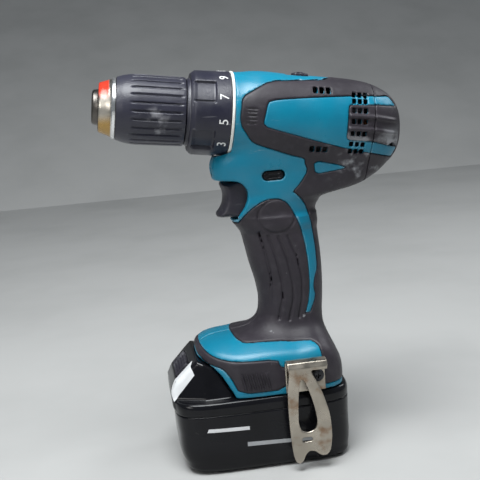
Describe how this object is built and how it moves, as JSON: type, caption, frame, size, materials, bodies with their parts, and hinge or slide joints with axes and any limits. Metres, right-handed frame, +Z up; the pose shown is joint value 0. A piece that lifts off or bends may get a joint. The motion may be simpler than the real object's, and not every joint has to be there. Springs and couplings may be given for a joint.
{
  "type": "cordless drill",
  "caption": "Pistol-grip cordless drill driver with keyless chuck, torque collar, planetary gearbox, rubber grip, belt hook and slide-on battery.",
  "frame": {"origin": "middle of the battery's flat underside, below the handle", "axes": "+Z up from the battery, nose towards -X, right-hand side towards +Y"},
  "size_m": [0.1889, 0.0849, 0.2438],
  "materials": {
    "teal_plastic": "moulded, satin",
    "grip_rubber": "matt overmould",
    "screw_steel": "zinc plated",
    "white_plastic": "moulded",
    "control_plastic": "moulded",
    "spring_steel": "drawn wire",
    "lamp_lens": "clear",
    "hook_steel": "nickel plated, worn",
    "black_screw": "black oxide",
    "chuck_steel": "turned, worn",
    "sleeve_plastic": "moulded, dusty",
    "collar_plastic": "moulded",
    "jaw_steel": "hardened",
    "cast_case": "die cast",
    "gear_steel": "sintered, greased",
    "yoke_steel": "plated",
    "magnet": "ferrite",
    "copper": "lacquered winding",
    "brass": "machined",
    "carbon": "graphite",
    "wire": "insulated",
    "battery_plastic": "gloss moulded",
    "cell_wrap": "shrink wrapped cells",
    "button_plastic": "moulded"
  },
  "bodies": {
    "housing": {"housing_left": "teal_plastic", "housing_right": "teal_plastic", "grip_left": "grip_rubber", "grip_right": "grip_rubber", "rear_cover": "grip_rubber", "housing_screws": "screw_steel", "index_ring": "white_plastic", "trigger_spring": "spring_steel", "switch_body": "control_plastic", "led_lamp": "lamp_lens", "belt_hook": "hook_steel", "hook_screw": "black_screw", "clutch_spring": "spring_steel", "clutch_balls": "jaw_steel", "gear_case": "cast_case", "ball_bearings": "jaw_steel", "ring_gear_1": "gear_steel", "ring_gear_3": "gear_steel", "motor_yoke": "yoke_steel", "motor_magnets": "magnet", "brush_holder": "control_plastic", "carbon_brushes": "carbon", "motor_leads": "wire", "terminal_block": "control_plastic"},
    "spindle": {"spindle": "chuck_steel", "chuck_body": "chuck_steel", "chuck_screw": "black_screw", "carrier_3": "gear_steel"},
    "sleeve": {"chuck_sleeve": "sleeve_plastic", "chuck_nut": "jaw_steel"},
    "jaw_1": {"jaw_1": "jaw_steel"},
    "jaw_2": {"jaw_2": "jaw_steel"},
    "jaw_3": {"jaw_3": "jaw_steel"},
    "collar": {"torque_collar": "collar_plastic"},
    "clutch_nut": {"clutch_nut": "collar_plastic"},
    "rotor": {"armature": "copper", "motor_pinion": "brass", "cooling_fan": "control_plastic"},
    "carrier_1": {"carrier_1": "gear_steel"},
    "carrier_2": {"carrier_2": "gear_steel"},
    "trigger": {"trigger": "control_plastic"},
    "reverse_lever": {"reverse_lever": "control_plastic"},
    "speed_selector": {"speed_lever": "control_plastic", "shift_fork": "spring_steel", "ring_gear_2": "gear_steel"},
    "battery": {"battery_case": "battery_plastic", "battery_cover": "battery_plastic", "battery_cells": "cell_wrap", "battery_terminals": "brass", "button_spring": "spring_steel"},
    "release_button": {"battery_button": "button_plastic"},
    "planet_1a": {"planet_1a": "gear_steel"},
    "planet_1b": {"planet_1b": "gear_steel"},
    "planet_1c": {"planet_1c": "gear_steel"},
    "planet_2a": {"planet_2a": "gear_steel"},
    "planet_2b": {"planet_2b": "gear_steel"},
    "planet_2c": {"planet_2c": "gear_steel"},
    "planet_3a": {"planet_3a": "gear_steel"},
    "planet_3b": {"planet_3b": "gear_steel"},
    "planet_3c": {"planet_3c": "gear_steel"}
  },
  "joints": [
    {"name": "motor_spin", "type": "hinge", "parent": "housing", "child": "rotor", "pos_m": [0.05542, 0, 0.20665], "axis": [-0.9903, 0, 0.1392], "continuous": true},
    {"name": "carrier_1_spin", "type": "hinge", "parent": "housing", "child": "carrier_1", "pos_m": [0.01927, 0, 0.21173], "axis": [-0.9903, 0, 0.1392], "continuous": true},
    {"name": "carrier_2_spin", "type": "hinge", "parent": "housing", "child": "carrier_2", "pos_m": [0.00937, 0, 0.21312], "axis": [-0.9903, 0, 0.1392], "continuous": true},
    {"name": "spindle_spin", "type": "hinge", "parent": "housing", "child": "spindle", "pos_m": [-0.03371, 0, 0.21918], "axis": [-0.9903, 0, 0.1392], "continuous": true},
    {"name": "planet_1a_spin", "type": "hinge", "parent": "carrier_1", "child": "planet_1a", "pos_m": [0.02323, 0.00945, 0.21117], "axis": [-0.9903, 0, 0.1392], "continuous": true},
    {"name": "planet_1b_spin", "type": "hinge", "parent": "carrier_1", "child": "planet_1b", "pos_m": [0.02437, -0.00473, 0.21928], "axis": [-0.9903, 0, 0.1392], "continuous": true},
    {"name": "planet_1c_spin", "type": "hinge", "parent": "carrier_1", "child": "planet_1c", "pos_m": [0.02209, -0.00473, 0.20307], "axis": [-0.9903, 0, 0.1392], "continuous": true},
    {"name": "planet_2a_spin", "type": "hinge", "parent": "carrier_2", "child": "planet_2a", "pos_m": [0.01353, 0.0105, 0.21254], "axis": [-0.9903, 0, 0.1392], "continuous": true},
    {"name": "planet_2b_spin", "type": "hinge", "parent": "carrier_2", "child": "planet_2b", "pos_m": [0.01479, -0.00525, 0.22154], "axis": [-0.9903, 0, 0.1392], "continuous": true},
    {"name": "planet_2c_spin", "type": "hinge", "parent": "carrier_2", "child": "planet_2c", "pos_m": [0.01226, -0.00525, 0.20353], "axis": [-0.9903, 0, 0.1392], "continuous": true},
    {"name": "planet_3a_spin", "type": "hinge", "parent": "spindle", "child": "planet_3a", "pos_m": [0.00283, 0.0105, 0.21404], "axis": [-0.9903, 0, 0.1392], "continuous": true},
    {"name": "planet_3b_spin", "type": "hinge", "parent": "spindle", "child": "planet_3b", "pos_m": [0.0041, -0.00525, 0.22304], "axis": [-0.9903, 0, 0.1392], "continuous": true},
    {"name": "planet_3c_spin", "type": "hinge", "parent": "spindle", "child": "planet_3c", "pos_m": [0.00157, -0.00525, 0.20503], "axis": [-0.9903, 0, 0.1392], "continuous": true},
    {"name": "sleeve_turn", "type": "hinge", "parent": "spindle", "child": "sleeve", "pos_m": [-0.05351, 0, 0.22196], "axis": [-0.9903, 0, 0.1392], "range_deg": [0, 4056]},
    {"name": "jaw_1_slide", "type": "slide", "parent": "spindle", "child": "jaw_1", "axis": [0.9543, -0.2672, -0.1341], "range_m": [0, 0.01873]},
    {"name": "jaw_2_slide", "type": "slide", "parent": "spindle", "child": "jaw_2", "axis": [0.922, 0.1336, -0.3633], "range_m": [0, 0.01873]},
    {"name": "jaw_3_slide", "type": "slide", "parent": "spindle", "child": "jaw_3", "axis": [0.9865, 0.1336, 0.0951], "range_m": [0, 0.01873]},
    {"name": "collar_turn", "type": "hinge", "parent": "housing", "child": "collar", "pos_m": [-0.01786, 0, 0.21695], "axis": [-0.9903, 0, 0.1392], "range_deg": [-120, 150], "deforming": ["clutch_spring"]},
    {"name": "clutch_nut_slide", "type": "slide", "parent": "housing", "child": "clutch_nut", "axis": [0.9903, 0, -0.1392], "range_m": [-0.0012, 0.0014]},
    {"name": "trigger_pull", "type": "slide", "parent": "housing", "child": "trigger", "axis": [1, 0, 0], "range_m": [0, 0.006], "stiffness_N_per_m": 800, "springref_m": -0.003, "deforming": ["trigger_spring"]},
    {"name": "reverse_slide", "type": "slide", "parent": "housing", "child": "reverse_lever", "axis": [0, 1, 0], "range_m": [-0.003, 0.003]},
    {"name": "speed_slide", "type": "slide", "parent": "housing", "child": "speed_selector", "axis": [-0.9903, 0, 0.1392], "range_m": [0, 0.0045]},
    {"name": "battery_slide", "type": "slide", "parent": "housing", "child": "battery", "axis": [-1, 0, 0], "range_m": [0, 0.075]},
    {"name": "release_press", "type": "slide", "parent": "battery", "child": "release_button", "axis": [0.6805, 0, -0.7328], "range_m": [0, 0.0025], "stiffness_N_per_m": 1200, "springref_m": -0.002, "deforming": ["button_spring"]}
  ],
  "couplings": [
    {"joint": "carrier_1_spin", "follows": "motor_spin", "ratio": 0.22222},
    {"joint": "carrier_2_spin", "follows": "motor_spin", "ratio": 0.066667},
    {"joint": "spindle_spin", "follows": "motor_spin", "ratio": 0.02},
    {"joint": "planet_1a_spin", "follows": "motor_spin", "ratio": -0.62222},
    {"joint": "planet_1b_spin", "follows": "motor_spin", "ratio": -0.62222},
    {"joint": "planet_1c_spin", "follows": "motor_spin", "ratio": -0.62222},
    {"joint": "planet_2a_spin", "follows": "motor_spin", "ratio": -0.23333},
    {"joint": "planet_2b_spin", "follows": "motor_spin", "ratio": -0.23333},
    {"joint": "planet_2c_spin", "follows": "motor_spin", "ratio": -0.23333},
    {"joint": "planet_3a_spin", "follows": "motor_spin", "ratio": -0.07},
    {"joint": "planet_3b_spin", "follows": "motor_spin", "ratio": -0.07},
    {"joint": "planet_3c_spin", "follows": "motor_spin", "ratio": -0.07},
    {"joint": "jaw_1_slide", "follows": "sleeve_turn", "m_per_rad": 0.00026426},
    {"joint": "jaw_2_slide", "follows": "sleeve_turn", "m_per_rad": 0.00026426},
    {"joint": "jaw_3_slide", "follows": "sleeve_turn", "m_per_rad": 0.00026426},
    {"joint": "clutch_nut_slide", "follows": "collar_turn", "m_per_rad": 0.0005}
  ]
}
